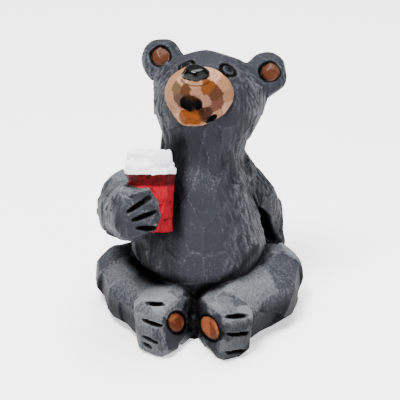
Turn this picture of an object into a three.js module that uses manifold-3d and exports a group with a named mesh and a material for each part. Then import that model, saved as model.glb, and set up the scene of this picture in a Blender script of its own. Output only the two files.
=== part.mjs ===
// A resin bear figurine: it sits cross-legged, looks up and holds a lidded cup, all cast in one.
// Millimetres, +Z up. The bear faces -Y, so its right paw is at -X, and it sits on Z = 0.

import * as THREE from "three";
import { mergeVertices } from "three/addons/utils/BufferGeometryUtils.js";
import { triTable } from "three/addons/objects/MarchingCubes.js";
import Module from "manifold-3d";

const wasm = await Module();
wasm.setup();

// Driving sizes

const height = 102; // from the ground to the tip of the higher ear
const facetSize = 6.4; // across one flat of the knife work
const facetDepth = 0.62; // the most that a flat takes off or leaves on
const cell = 1.05; // step of the grid that the form is traced on
const triangleBudget = 8800; // of the bear, without its cup
const cupSides = 56;

// The free form is drawn 94.4 units tall, and these units are shares of its height.
const unitsTall = 94.4;
const unit = height / unitsTall;

// Vectors and frames

const add = (a, b) => [a[0] + b[0], a[1] + b[1], a[2] + b[2]];
const minus = (a, b) => [a[0] - b[0], a[1] - b[1], a[2] - b[2]];
const times = (a, k) => [a[0] * k, a[1] * k, a[2] * k];
const dot = (a, b) => a[0] * b[0] + a[1] * b[1] + a[2] * b[2];
const cross = (a, b) => [a[1] * b[2] - a[2] * b[1], a[2] * b[0] - a[0] * b[2], a[0] * b[1] - a[1] * b[0]];
const length = (a) => Math.sqrt(dot(a, a));
const norm = (a) => times(a, 1 / length(a));
const clamp = (x, low, high) => Math.min(Math.max(x, low), high);
const radians = THREE.MathUtils.degToRad;

// A frame is an origin with three directions: to the side, forward and up. Up is kept exactly.
function frame(origin, forward, up) {
  const top = norm(up);
  const side = norm(cross(top, forward));
  return { origin, side, front: cross(side, top), top };
}

// A frame that faces -Y, then turns to -X by yaw, looks up by pitch and leans its top to +X by roll.
function posed(origin, yaw, pitch, roll) {
  const [y, p, r] = [yaw, pitch, roll].map(radians);
  const front = [-Math.sin(y) * Math.cos(p), -Math.cos(y) * Math.cos(p), Math.sin(p)];
  const level = norm(minus([0, 0, 1], times(front, front[2])));
  const side = cross(level, front);
  return frame(origin, front, add(times(level, Math.cos(r)), times(side, Math.sin(r))));
}

function into(f, p) {
  const d = minus(p, f.origin);
  return [dot(d, f.side), dot(d, f.front), dot(d, f.top)];
}

// Forms: each is a function of a point that gives its distance from the surface, below zero inside

function ellipsoid(centre, radii) {
  return (p) => {
    const q = minus(p, centre).map((x, i) => x / radii[i]);
    const k = length(q);
    const slope = Math.hypot(q[0] / radii[0], q[1] / radii[1], q[2] / radii[2]);
    return (k * (k - 1)) / Math.max(slope, 1e-6);
  };
}

// A rod with round ends, from a to b, whose radius goes from ra to rb.
function rod(a, b, ra, rb) {
  const along = minus(b, a);
  const square = dot(along, along);
  return (p) => {
    const d = minus(p, a);
    const t = clamp(dot(d, along) / square, 0, 1);
    return length(minus(d, times(along, t))) - (ra + (rb - ra) * t);
  };
}

// A box with half sizes and rounded edges, in its own frame.
function block(half, round) {
  return (p) => {
    const q = p.map((x, i) => Math.abs(x) - half[i] + round);
    const outside = Math.hypot(Math.max(q[0], 0), Math.max(q[1], 0), Math.max(q[2], 0));
    return outside + Math.min(Math.max(...q), 0) - round;
  };
}

// A knife slash from a to b, pointed at both ends, that goes in against the direction `out`.
function gash(a, b, out, deep, wide) {
  const middle = times(add(a, b), 0.5);
  const half = times(minus(b, a), 0.5);
  const along = norm(half);
  const across = norm(cross(out, along));
  const cutter = ellipsoid([0, 0, 0], [length(half), deep, wide]);
  const axes = [along, cross(along, across), across];
  return (p) => {
    const d = minus(p, middle);
    return cutter(axes.map((axis) => dot(d, axis)));
  };
}

// Joins a and b with a fillet of width k, and cuts b out of a with one.
function join(a, b, k) {
  const h = Math.max(k - Math.abs(a - b), 0) / k;
  return Math.min(a, b) - (h * h * k) / 4;
}

const cut = (a, b, k) => -join(-a, b, k);

// A limb is a chain of rods through points, each given as [x, y, z, radius].
function limb(points, k) {
  const rods = points.slice(1).map((end, i) => rod(points[i], end, points[i][3], end[3]));
  return (p) => rods.reduce((d, one) => join(d, one(p), k), Infinity);
}

// Body and limbs, in the figure's units

const torso = limb([[0, 3, 11, 19], [0, -1, 25, 21.3], [-0.3, 2, 41.4, 17.2], [1.5, 4, 55.4, 13.6]], 8);

const holdingArm = limb(
  [[-12, 4.6, 46.5, 8.2], [-22.5, 0, 39.3, 9.7], [-23.2, -5.7, 39, 9.3], [-21.8, -17.5, 44.4, 9]], 5);
const proppingArm = limb(
  [[11.5, 6, 47, 8.4], [18.6, 8.8, 35.2, 8], [22, 13.5, 27.5, 6.9], [26.3, 15.4, 9, 6.2]], 5);
const proppingPaw = ellipsoid([27.3, 13, 5], [5.6, 7.6, 5.6]);

const rightLeg = limb(
  [[-13, 6, 10.5, 11.5], [-26, 1.2, 9.7, 8.9], [-21.8, -10.5, 8.4, 8.7], [-12.8, -22.8, 9, 10.4]], 5);
const leftLeg = limb(
  [[13, 5, 10.5, 11.5], [25.2, 0, 10.5, 10.1], [22.8, -10.9, 9.3, 10.2], [11.4, -22.2, 9, 10.9]], 5);
const heels = rod([-1, -24.2, 1], [-1, -25.2, 8], 2.2, 2.4); // where the soles meet

// Feet: they lie on their outer edges, with the soles turned in to each other and the toes forward

const toeRound = 4.8;
const toeCutDepth = 1.9;
const toeCutWidth = 0.75; // half of the slash, at its widest
const padRingRadius = 0.75;

function makeFoot({ centre, toesOut, lean, half, soleSide, toeCuts, pad }) {
  const yaw = radians(toesOut);
  const tip = radians(lean);
  const side = [Math.cos(yaw), Math.sin(yaw), 0];
  const up = add([0, 0, Math.cos(tip)], times(side, Math.sin(tip)));
  const place = frame(centre, [Math.sin(yaw), -Math.cos(yaw), 0], up);
  const body = block(half, toeRound);
  // The slashes between the toes run across the front of the foot, and lean with its rounded top.
  const toes = toeCuts.map(([from, to]) => gash(from, to, [0, 1, 0.08 * from[2]], toeCutDepth, toeCutWidth));
  // The pad's outline is an oval groove on the sole.
  const turn = radians(pad.tilt);
  const padRing = (q) => {
    const [y, z] = [q[1] - pad.along, q[2] - pad.high];
    const along = y * Math.cos(turn) - z * Math.sin(turn);
    const across = y * Math.sin(turn) + z * Math.cos(turn);
    const around = Math.hypot(along / pad.length, across / pad.width);
    return Math.hypot((around - 1) * pad.width, q[0] - soleSide * half[0]) - padRingRadius;
  };
  return {
    body: (p) => body(into(place, p)),
    cuts: (p) => {
      const q = into(place, p);
      return Math.min(padRing(q), ...toes.map((toe) => toe(q)));
    },
  };
}

const rightFoot = makeFoot({
  centre: [-11.3, -27.5, 9.3], toesOut: -33, lean: -7, half: [6.9, 10.2, 10.3],
  soleSide: 1, pad: { along: 1.7, high: 0.5, length: 5.4, width: 3.3, tilt: -39 },
  toeCuts: [
    [[-0.8, 8.4, 9.6], [6, 5.9, 9.1]], [[-1.8, 10.3, 4.3], [6.1, 9.1, 2.8]],
    [[-2.6, 10.3, -2.3], [3.9, 10.2, -3.9]], [[-2.7, 10.3, -5], [1, 10.3, -6.4]],
  ],
});
const leftFoot = makeFoot({
  centre: [8.5, -29.8, 8.5], toesOut: 30, lean: 7, half: [6.6, 10.2, 9.4],
  soleSide: -1, pad: { along: 1.2, high: 0.2, length: 6.6, width: 3.9, tilt: -14 },
  toeCuts: [
    [[3.6, 9.3, 7.3], [-5.3, 8.1, 7.7]], [[4.5, 9.8, 1], [-4.8, 9.6, 1.9]],
    [[4.5, 9.6, -5.7], [-4.4, 9.7, -5.1]],
  ],
});

// Head: everything on it is placed in the head's own frame, as [to the side, forward, up]

const head = posed([3.3, 4.5, 74.3], 3.7, 38.6, 6.7);
const skullCentre = [0, 0, 0.5];
const skullRadii = [18.3, 17.1, 16.6];
const skull = ellipsoid(skullCentre, skullRadii);

const upperMuzzle = ellipsoid([-1.8, 13.2, -1.4], [10.8, 11.2, 8.9]);
const jaw = ellipsoid([-3, 11.2, -6.8], [6.1, 9.4, 4.6]);
const mouth = ellipsoid([-3.4, 21.8, -6.9], [3.5, 4.8, 2.2]);
const jawBowl = ellipsoid([-3.2, 19.4, -8.6], [3.9, 2.4, 1.5]);
const mouthCorner = gash([4, 16.3, -7.9], [2.5, 14, -10.1], [0.3, 0.6, -0.75], 2, 1.1);
const nose = ellipsoid([-3.2, 21.9, 2.5], [4.3, 3.8, 3.1]);

const earDepth = 4;
const earDish = 3.9;
const earDisc = 3;

function makeEar(side, centre, radii, face) {
  const body = ellipsoid(centre, [radii[0], earDepth, radii[1]]);
  const root = rod(centre, [side * 10.6, 0, 4.2], 4, 7.6);
  const dish = ellipsoid(face, [earDish, 1.9, earDish]);
  const disc = ellipsoid(add(face, [0.3, -1.2, 0]), [earDisc, 1.3, earDisc]);
  return { body, root, dish, disc };
}

const ears = [
  makeEar(-1, [-17.7, 1, 12.5], [6.5, 6.9], [-17.9, 5, 12.4]),
  makeEar(1, [18, 0, 12.6], [6.6, 7.3], [19.2, 4, 12.6]),
];

const eyeRing = 2.4; // radius of the carved ring round an eye
const eyeRingDepth = 0.7;
const eyeDisc = 1.8;
const eyeDome = 1.1;

// An eye is a low dome in a ring groove. It lies on the skull, and is round as seen from the front.
function makeEye(at) {
  const steep = norm(at.map((x, i) => (x - skullCentre[i]) / skullRadii[i] ** 2));
  const out = norm(add(steep, [0, 1, 0]));
  const place = (q) => {
    const d = minus(q, at);
    return [length(minus(d, times(out, dot(d, out)))), skull(q)];
  };
  return {
    ring: (q) => {
      const [wide, high] = place(q);
      return Math.hypot(wide - eyeRing, high) - eyeRingDepth;
    },
    disc: (q) => {
      const [wide, high] = place(q);
      return (Math.hypot(wide / eyeDisc, (high + 0.3) / eyeDome) - 1) * eyeDome;
    },
  };
}

const eyes = [makeEye([-7.6, 13.8, 7.5]), makeEye([6.2, 14.1, 8.1])];

function crown(q) {
  return ears.reduce((d, ear) => join(d, join(ear.body(q), ear.root(q), 3), 3), skull(q));
}

const snout = (q) => Math.min(join(upperMuzzle(q), jaw(q), 1), nose(q));
const mouthCuts = (q) => Math.min(mouth(q), jawBowl(q), mouthCorner(q));
const faceCuts = (q) => Math.min(mouthCuts(q), ...eyes.map((eye) => eye.ring(q)));

function carveFace(d, q) {
  let face = cut(d, faceCuts(q), 0.5);
  for (const ear of ears) face = Math.min(cut(face, ear.dish(q), 0.5), ear.disc(q));
  for (const eye of eyes) face = Math.min(face, eye.disc(q));
  return face;
}

// The cup leans back to the bear, and the paw closes round its front from the left of the picture

const cupRim = 7.95; // radius under the lid
const cupFoot = 6.8; // radius at the bottom
const cupLength = 18.9;
const lidStep = 0.45; // the lid's rim beyond the cup
const lidRimTop = 4;
const lidTop = 7.5;
const cup = frame([-15.4, -17, 58.1], [0, -1, 0], [0, 0.44, 1]);

const knuckles = ellipsoid([-6.6, 2.6, -12.2], [7.2, 6, 9]);
const fingerBase = -7;
const fingerTips = [[0.4, -5.9], [2.3, -9.2], [2.9, -13], [1.4, -16.4]];
const fingerRadius = 2.15;
const fingerRoot = 2.9;
const fingers = fingerTips.map(([x, z]) => {
  return rod([fingerBase, 5, z - 1.6], [x - 1.6, 6.4, z], fingerRoot, fingerRadius);
});
const fingerSlashes = [
  [[0.5, 8, -6.9], [-7.6, 8.6, -12.2]], [[2.5, 8, -11.5], [-6, 8.4, -14.8]],
  [[2.2, 7.2, -17], [-4.6, 8.2, -17.1]],
];
const fingerCuts = fingerSlashes.map(([from, to]) => gash(from, to, [0, 1, 0], 1.8, 0.75));

const paw = (q) => fingers.reduce((d, finger) => join(d, finger(q), 2.2), knuckles(q));
const fingerGaps = (q) => Math.min(...fingerCuts.map((gap) => gap(q)));

// Deep hollows that read as black: behind the propping arm, and between belly and thigh

const armSlash = gash([19, -1.3, 43.2], [22.4, -0.6, 34.2], [0.6, -0.8, 0], 1.3, 0.6);
const armCore = gash([21.2, -1, 37], [26.8, 8.6, 19.6], [0.7, -0.7, 0.1], 5.5, 2.1);
const thighHollow = rod([-22, -6.5, 20.6], [-13.5, -19, 20.4], 2.4, 1.6);

const buried = 1.6; // how far the form goes on below the ground, until the ground is cut off it

// The bear as it is before the small carving
function plainForm(p) {
  const q = into(head, p);
  let d = join(torso(p), crown(q), 9);
  d = join(d, holdingArm(p), 3);
  d = join(d, join(proppingArm(p), proppingPaw(p), 2.5), 3);
  d = join(d, Math.min(rightLeg(p), leftLeg(p)), 1.2);
  d = join(d, Math.min(rightFoot.body(p), leftFoot.body(p), heels(p)), 0.9);
  d = join(d, paw(into(cup, p)), 3.5);
  return Math.max(join(d, snout(q), 0.8), -p[2] - buried);
}

function carvedForm(p) {
  const plain = plainForm(p);
  if (plain > 4) return plain;
  let d = cut(plain, Math.min(armSlash(p), armCore(p), thighHollow(p)), 0.9);
  d = cut(d, Math.min(rightFoot.cuts(p), leftFoot.cuts(p)), 0.6);
  d = cut(d, fingerGaps(into(cup, p)), 0.5);
  return carveFace(d, into(head, p));
}

// Tracing the form: a grid of distances, walked cell by cell

const corners = [[0, 0, 0], [1, 0, 0], [1, 1, 0], [0, 1, 0], [0, 0, 1], [1, 0, 1], [1, 1, 1], [0, 1, 1]];
const flatEdges = [[0, 1], [1, 2], [3, 2], [0, 3]];
const uprightEdges = [[0, 4], [1, 5], [2, 6], [3, 7]];
const cellEdges = [...flatEdges, ...flatEdges.map(([a, b]) => [a + 4, b + 4]), ...uprightEdges];

function trace(form, low, high, step) {
  const count = low.map((x, i) => Math.ceil((high[i] - x) / step) + 1);
  const index = (i, j, k) => (k * count[1] + j) * count[0] + i;
  const values = new Float32Array(count[0] * count[1] * count[2]);
  const patch = 5;
  const reach = step * patch * 0.87 + 1.5;
  for (let k = 0; k < count[2]; k += patch) {
    for (let j = 0; j < count[1]; j += patch) {
      for (let i = 0; i < count[0]; i += patch) {
        const middle = form([i, j, k].map((n, a) => low[a] + (n + (patch - 1) / 2) * step));
        const far = Math.abs(middle) > reach;
        for (let c = k; c < Math.min(k + patch, count[2]); c += 1) {
          for (let b = j; b < Math.min(j + patch, count[1]); b += 1) {
            for (let a = i; a < Math.min(i + patch, count[0]); a += 1) {
              const here = [low[0] + a * step, low[1] + b * step, low[2] + c * step];
              values[index(a, b, c)] = far ? middle : form(here);
            }
          }
        }
      }
    }
  }
  const points = [];
  const faces = [];
  const known = new Map();
  const nudge = 0.06;
  const crossing = (i, j, k, edge) => {
    const [from, to] = cellEdges[edge].map((n) => corners[n]);
    const start = index(i + from[0], j + from[1], k + from[2]);
    const axis = to.findIndex((x, a) => x !== from[a]);
    const key = start * 3 + axis;
    if (!known.has(key)) {
      const first = values[start];
      const last = values[index(i + to[0], j + to[1], k + to[2])];
      const t = clamp(first / (first - last), nudge, 1 - nudge);
      const point = [i + from[0], j + from[1], k + from[2]];
      point[axis] += t;
      known.set(key, points.length);
      points.push(point.map((n, a) => low[a] + n * step));
    }
    return known.get(key);
  };
  for (let k = 0; k < count[2] - 1; k += 1) {
    for (let j = 0; j < count[1] - 1; j += 1) {
      for (let i = 0; i < count[0] - 1; i += 1) {
        let kind = 0;
        corners.forEach(([a, b, c], n) => {
          if (values[index(i + a, j + b, k + c)] < 0) kind |= 1 << n;
        });
        for (let n = kind * 16; triTable[n] !== -1; n += 3) {
          const turned = [triTable[n + 2], triTable[n + 1], triTable[n]];
          faces.push(turned.map((edge) => crossing(i, j, k, edge)));
        }
      }
    }
  }
  return { points, faces };
}

// Knife work: seeds are spread over the plain form, and each point moves as far as its seed's flat
// lies off the plain form there, so that grooves and hollows keep their shape

function slope(form, p) {
  const e = 0.4;
  return norm([0, 1, 2].map((i) => {
    const d = [0, 0, 0];
    d[i] = e;
    return form(add(p, d)) - form(minus(p, d));
  }));
}

function whittle(points, plain, size, depth) {
  const bins = new Map();
  const key = (p) => p.map((x) => Math.floor(x / size)).join();
  const near = (p) => {
    const found = [];
    for (let n = 0; n < 27; n += 1) {
      const shift = [n % 3, Math.floor(n / 3) % 3, Math.floor(n / 9)].map((x) => (x - 1) * size);
      found.push(...(bins.get(key(add(p, shift))) ?? []));
    }
    return found;
  };
  const laid = points.map((p) => {
    const facing = slope(plain, p);
    const off = plain(p);
    return { at: minus(p, times(facing, off)), facing, off };
  });
  // Points are taken in a scattered order: a stride that shares no factor with their number.
  const stride = 7919;
  for (let n = 0; n < laid.length; n += 1) {
    const { at, facing, off } = laid[(n * stride) % laid.length];
    if (Math.abs(off) < cell / 4 && near(at).every((seed) => length(minus(seed.at, at)) > size)) {
      bins.set(key(at), [...(bins.get(key(at)) ?? []), { at, facing }]);
    }
  }
  return laid.map(({ at, facing }, n) => {
    const far = (seed) => length(minus(seed.at, at)) + (1 - dot(facing, seed.facing)) * size * 2;
    const seeds = near(at);
    if (!seeds.length) return points[n];
    const seed = seeds.reduce((best, one) => (far(one) < far(best) ? one : best));
    const move = dot(minus(at, seed.at), seed.facing);
    return minus(points[n], times(facing, move / (1 + (move / depth) ** 4)));
  });
}

// Collapsing short and flat edges, cheapest first, until the budget is met

function simplify({ points, faces }, budget) {
  const at = points.map((p) => [...p]);
  const live = faces.map(() => true);
  const around = at.map(() => new Set());
  const quadric = at.map(() => new Float64Array(10));
  const planeOf = (face) => {
    const [a, b, c] = face.map((v) => at[v]);
    const n = cross(minus(b, a), minus(c, a));
    return { n, area: length(n) };
  };
  faces.forEach((face, i) => {
    const { n, area } = planeOf(face);
    const [x, y, z] = times(n, 1 / Math.max(area, 1e-12));
    const w = -dot([x, y, z], at[face[0]]);
    const q = [x * x, x * y, x * z, x * w, y * y, y * z, y * w, z * z, z * w, w * w];
    for (const v of face) {
      around[v].add(i);
      q.forEach((value, j) => (quadric[v][j] += value * area));
    }
  });
  const error = (q, [x, y, z]) =>
    q[0] * x * x + 2 * q[1] * x * y + 2 * q[2] * x * z + 2 * q[3] * x + q[4] * y * y +
    2 * q[5] * y * z + 2 * q[6] * y + q[7] * z * z + 2 * q[8] * z + q[9];
  const best = (a, b) => {
    const q = quadric[a].map((x, i) => x + quadric[b][i]);
    const middle = times(add(at[a], at[b]), 0.5);
    const span = length(minus(at[a], at[b]));
    const m = new THREE.Matrix3().set(q[0], q[1], q[2], q[1], q[4], q[5], q[2], q[5], q[7]);
    const options = [middle, at[a], at[b]];
    if (Math.abs(m.determinant()) > 1e-3) {
      const v = new THREE.Vector3(-q[3], -q[6], -q[8]).applyMatrix3(m.invert());
      const place = [v.x, v.y, v.z];
      if (length(minus(place, middle)) < span) options.push(place);
    }
    const costs = options.map((p) => error(q, p));
    const pick = costs.indexOf(Math.min(...costs));
    return { cost: Math.max(costs[pick], 0) + 1e-4 * span * span, place: options[pick] };
  };
  const stamp = at.map(() => 0);
  const heap = [];
  const swap = (i, j) => ([heap[i], heap[j]] = [heap[j], heap[i]]);
  const push = (item) => {
    heap.push(item);
    const above = (i) => (i - 1) >> 1;
    const heavy = (i) => i > 0 && heap[above(i)].cost > heap[i].cost;
    for (let i = heap.length - 1; heavy(i); i = above(i)) swap(i, above(i));
  };
  const pop = () => {
    const top = heap[0];
    const last = heap.pop();
    if (heap.length) heap[0] = last;
    for (let i = 0; ;) {
      const [l, r] = [2 * i + 1, 2 * i + 2];
      let low = l < heap.length && heap[l].cost < heap[i].cost ? l : i;
      if (r < heap.length && heap[r].cost < heap[low].cost) low = r;
      if (low === i) return top;
      swap(i, low);
      i = low;
    }
  };
  const beside = (v) => {
    const found = new Set();
    for (const i of around[v]) faces[i].forEach((x) => found.add(x));
    found.delete(v);
    return found;
  };
  const offer = (a, b) => push({ ...best(a, b), a, b, stamps: [stamp[a], stamp[b]] });
  const flips = (v, other, place) => {
    for (const i of around[v]) {
      const face = faces[i];
      if (face.includes(other)) continue;
      const before = planeOf(face);
      const [a, b, c] = face.map((x) => (x === v ? place : at[x]));
      const after = cross(minus(b, a), minus(c, a));
      const size = length(after);
      const longest = Math.max(length(minus(a, b)), length(minus(b, c)), length(minus(c, a)));
      if (size < 0.05 * longest * longest || dot(before.n, after) < 0.35 * before.area * size) return true;
    }
    return false;
  };
  at.forEach((p, a) => beside(a).forEach((b) => a < b && offer(a, b)));
  let left = faces.length;
  while (left > budget && heap.length) {
    const { a, b, place, stamps } = pop();
    if (stamps[0] !== stamp[a] || stamps[1] !== stamp[b]) continue;
    const shared = [...beside(a)].filter((v) => beside(b).has(v));
    if (shared.length !== 2 || flips(a, b, place) || flips(b, a, place)) continue;
    at[a] = place;
    quadric[a] = quadric[a].map((x, i) => x + quadric[b][i]);
    for (const i of around[b]) {
      if (faces[i].includes(a)) {
        live[i] = false;
        left -= 1;
        faces[i].forEach((v) => v !== b && around[v].delete(i));
      } else {
        faces[i] = faces[i].map((v) => (v === b ? a : v));
        around[a].add(i);
      }
    }
    around[b] = new Set();
    stamp[b] += 1;
    stamp[a] += 1;
    beside(a).forEach((v) => offer(a, v));
  }
  return { points: at, faces: faces.filter((face, i) => live[i]) };
}

// Solids, and the joins and cuts between them

function solid(geometry) {
  const bare = geometry.clone();
  for (const name of ["normal", "uv"]) bare.deleteAttribute(name);
  const merged = mergeVertices(bare, 1e-4);
  const triVerts = new Uint32Array(merged.index.array);
  const vertProperties = new Float32Array(merged.attributes.position.array);
  return new wasm.Manifold(new wasm.Mesh({ numProp: 3, vertProperties, triVerts }));
}

function geometryOf({ points, faces }) {
  const geometry = new THREE.BufferGeometry();
  geometry.setAttribute("position", new THREE.Float32BufferAttribute(points.flat(), 3));
  geometry.setIndex(faces.flat());
  return geometry;
}

function geometryFrom(shape) {
  const { vertProperties, triVerts } = shape.getMesh();
  const geometry = new THREE.BufferGeometry();
  geometry.setAttribute("position", new THREE.BufferAttribute(vertProperties, 3));
  geometry.setIndex(new THREE.BufferAttribute(triVerts, 1));
  return geometry;
}

// The cup with its lid: one turned profile, from the foot up to the top of the lid
function makeCup() {
  const profile = [
    [0, -cupLength], [cupFoot, -cupLength], [cupRim, 0], [cupRim + lidStep, 0.3],
    [cupRim + lidStep, lidRimTop - 0.5], [cupRim - 0.7, lidRimTop], [cupRim - 0.9, lidTop - 0.7],
    [cupRim - 1.8, lidTop], [0, lidTop - 0.3],
  ];
  const outline = profile.map(([r, z]) => new THREE.Vector2(r * unit, z * unit));
  const turned = new THREE.LatheGeometry(outline, cupSides).rotateX(Math.PI / 2);
  const axes = [cup.side, times(cup.front, -1), cup.top].map((v) => new THREE.Vector3(...v));
  const place = new THREE.Matrix4().makeBasis(...axes).setPosition(...times(cup.origin, unit));
  return turned.applyMatrix4(place);
}

// The ground takes off whatever is below it, so that the casting stands flat.
function makeGround() {
  const size = height * 2;
  return new THREE.BoxGeometry(size, size, size).translate(0, 0, -size / 2);
}

function makeBear() {
  const scaled = (form) => (p) => form(times(p, 1 / unit)) * unit;
  const low = [-42, -46, -4].map((x) => x * unit);
  const high = [42, 27, 100].map((x) => x * unit);
  const { points, faces } = trace(scaled(carvedForm), low, high, cell);
  const cutPoints = whittle(points, scaled(plainForm), facetSize, facetDepth);
  const body = solid(geometryOf(simplify({ points: cutPoints, faces }, triangleBudget)));
  return geometryFrom(body.add(solid(makeCup())).subtract(solid(makeGround())));
}

const resin = new THREE.MeshStandardMaterial({ color: "#54575e", roughness: 0.55, metalness: 0 });
const bear = new THREE.Mesh(makeBear(), resin);
bear.name = "resin_bear";

const figurine = new THREE.Group();
figurine.add(bear);
export default figurine;
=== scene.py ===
# %% [markdown]
# # Resin bear figurine
# A seated bear, about 10 cm tall, cast in one piece of filled resin and painted by hand. The master was
# whittled, so the surface is made of knife flats, with deep cuts between toes and fingers. The form is
# smooth lumps first, then cuts, then flats, then paint, in the order in which a carver and a painter work.

import math
from functools import partial

import bpy
import numpy as np
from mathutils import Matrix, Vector


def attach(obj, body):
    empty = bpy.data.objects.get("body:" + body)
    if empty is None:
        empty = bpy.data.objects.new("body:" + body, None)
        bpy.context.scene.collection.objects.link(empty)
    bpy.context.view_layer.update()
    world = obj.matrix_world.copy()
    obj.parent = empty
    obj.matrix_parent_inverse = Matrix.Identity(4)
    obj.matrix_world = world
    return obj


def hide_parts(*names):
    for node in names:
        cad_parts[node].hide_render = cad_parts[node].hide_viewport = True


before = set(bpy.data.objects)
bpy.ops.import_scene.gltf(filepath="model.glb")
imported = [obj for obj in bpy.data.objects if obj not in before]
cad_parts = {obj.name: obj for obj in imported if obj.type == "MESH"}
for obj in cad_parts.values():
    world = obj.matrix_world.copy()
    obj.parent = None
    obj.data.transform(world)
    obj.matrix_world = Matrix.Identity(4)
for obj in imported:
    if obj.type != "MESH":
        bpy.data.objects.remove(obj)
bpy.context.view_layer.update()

# %% [markdown]
# ## Units
# A free form is easiest to draw in shares of its own height. The bear is drawn 94.4 units tall, and one
# number turns those units into metres. It faces -Y, so its right paw, with the cup, is at -X.

# %% Units
HEIGHT = 0.102
UNITS_TALL = 94.4
UNIT = HEIGHT / UNITS_TALL
MM = 0.001 / UNIT
print("one unit is", round(UNIT * 1000, 3), "mm")

# %% [markdown]
# ## Camera
# The photograph looks down on the bear from the front, by about 27 degrees, from far enough away to keep
# its proportions. A long lens from the same side does that, aimed so that the frame needs no shift.

# %% Camera
CAMERA_ELEVATION = math.radians(27)
CAMERA_DISTANCE = 480
PIXELS_PER_UNIT = 2.95
IMAGE_WIDTH = 400
SENSOR = 36
AIM = np.array([0.74, -6.44, 43.2])


def make_camera():
    back = np.array([0, -math.cos(CAMERA_ELEVATION), math.sin(CAMERA_ELEVATION)])
    data = bpy.data.cameras.new("camera")
    data.sensor_width = SENSOR
    data.lens = SENSOR * PIXELS_PER_UNIT * CAMERA_DISTANCE / IMAGE_WIDTH
    data.clip_start = 0.01
    camera = bpy.data.objects.new("camera", data)
    camera.location = (AIM + back * CAMERA_DISTANCE) * UNIT
    camera.rotation_euler = (math.pi / 2 - CAMERA_ELEVATION, 0, 0)
    bpy.context.scene.collection.objects.link(camera)
    bpy.context.scene.camera = camera
    return camera


camera = make_camera()
print("lens", round(camera.data.lens, 1), "mm at", round(CAMERA_DISTANCE * UNIT, 3), "m")

# %% [markdown]
# ## Forms as distances
# A lump is a function that gives, for many points at once, the distance to its surface, below zero inside.
# Two lumps then melt into one with a soft minimum, and a knife cut is the same sum with its sign turned.
# Meshes would need booleans and remeshing for each of these, and lose the clean seam between two lumps.

# %% Lumps, joins and cuts


def size_of(q):
    return np.sqrt(np.einsum("ij,ij->i", q, q))


def ellipsoid(q, centre, radii):
    radii = np.array(radii, float)
    r = (q - np.array(centre, float)) / radii
    k = size_of(r)
    return k * (k - 1) / np.maximum(size_of(r / radii), 1e-6)


def rod(q, a, b, ra, rb):
    a = np.array(a, float)
    along = np.array(b, float) - a
    t = np.clip((q - a) @ along / (along @ along), 0, 1)
    return size_of(q - a - t[:, None] * along) - (ra + (rb - ra) * t)


def gash(q, a, b, out, deep, wide):
    a, b = np.array(a, float), np.array(b, float)
    half = (b - a) / 2
    along = half / np.linalg.norm(half)
    across = np.cross(out, along)
    across = across / np.linalg.norm(across)
    axes = np.stack([along, np.cross(along, across), across])
    return ellipsoid((q - (a + b) / 2) @ axes.T, (0, 0, 0), (np.linalg.norm(half), deep, wide))


def block(q, half, rounding):
    r = np.abs(q) - np.array(half, float) + rounding
    return size_of(np.maximum(r, 0)) + np.minimum(r.max(axis=1), 0) - rounding


def join(a, b, k):
    h = np.maximum(k - np.abs(a - b), 0) / k
    return np.minimum(a, b) - h * h * k / 4


def cut(a, b, k):
    return -join(-a, b, k)


def least(*distances):
    return np.minimum.reduce(distances)


def limb(p, points, k):
    d = None
    for (*a, ra), (*b, rb) in zip(points, points[1:]):
        one = rod(p, a, b, ra, rb)
        d = one if d is None else join(d, one, k)
    return d


# %% [markdown]
# ## Places
# The head, the feet and the cup are easier to shape straight, so each has a frame of its own: an origin
# with three directions, to the side, forward and up.

# %% Frames for the head, feet and cup


def unit_vector(v):
    v = np.array(v, float)
    return v / np.linalg.norm(v)


def make_frame(origin, forward, up):
    top = unit_vector(up)
    side = unit_vector(np.cross(top, forward))
    return np.array(origin, float), np.stack([side, np.cross(side, top), top])


def into(place, p):
    origin, axes = place
    return (p - origin) @ axes.T


def posed(origin, yaw, pitch, roll):
    y, p, r = np.radians([yaw, pitch, roll])
    front = np.array([-math.sin(y) * math.cos(p), -math.cos(y) * math.cos(p), math.sin(p)])
    level = unit_vector(np.array([0, 0, 1]) - front * front[2])
    return make_frame(origin, front, level * math.cos(r) + np.cross(level, front) * math.sin(r))


HEAD = posed((3.3, 4.5, 74.3), 3.7, 38.6, 6.7)
CUP = make_frame((-15.4, -17, 58.1), (0, -1, 0), (0, 0.44, 1))
print("the head looks up along", np.round(HEAD[1][1], 2))

# %% [markdown]
# ## Body and limbs
# The body is a chain of balls from the seat to the neck. Each limb is such a chain too: the right arm
# comes forward round the cup, the left one props the bear from behind, and the knees point out to the sides.
# How softly one lump runs into the next is a size as well: a neck flows, and a foot keeps its edge.

# %% Body and limbs
TORSO = [(0, 3, 11, 19), (0, -1, 25, 21.3), (-0.3, 2, 41.4, 17.2), (1.5, 4, 55.4, 13.6)]
HOLDING_ARM = [(-12, 4.6, 46.5, 8.2), (-22.5, 0, 39.3, 9.7), (-23.2, -5.7, 39, 9.3), (-21.8, -17.5, 44.4, 9)]
PROPPING_ARM = [(11.5, 6, 47, 8.4), (18.6, 8.8, 35.2, 8), (22, 13.5, 27.5, 6.9), (26.3, 15.4, 9, 6.2)]
RIGHT_LEG = [(-13, 6, 10.5, 11.5), (-26, 1.2, 9.7, 8.9), (-21.8, -10.5, 8.4, 8.7), (-12.8, -22.8, 9, 10.4)]
LEFT_LEG = [(13, 5, 10.5, 11.5), (25.2, 0, 10.5, 10.1), (22.8, -10.9, 9.3, 10.2), (11.4, -22.2, 9, 10.9)]
HEELS = ((-1, -24.2, 1), (-1, -25.2, 8), 2.2, 2.4)
PROPPING_PAW = ((27.3, 13, 5), (5.6, 7.6, 5.6))
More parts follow.
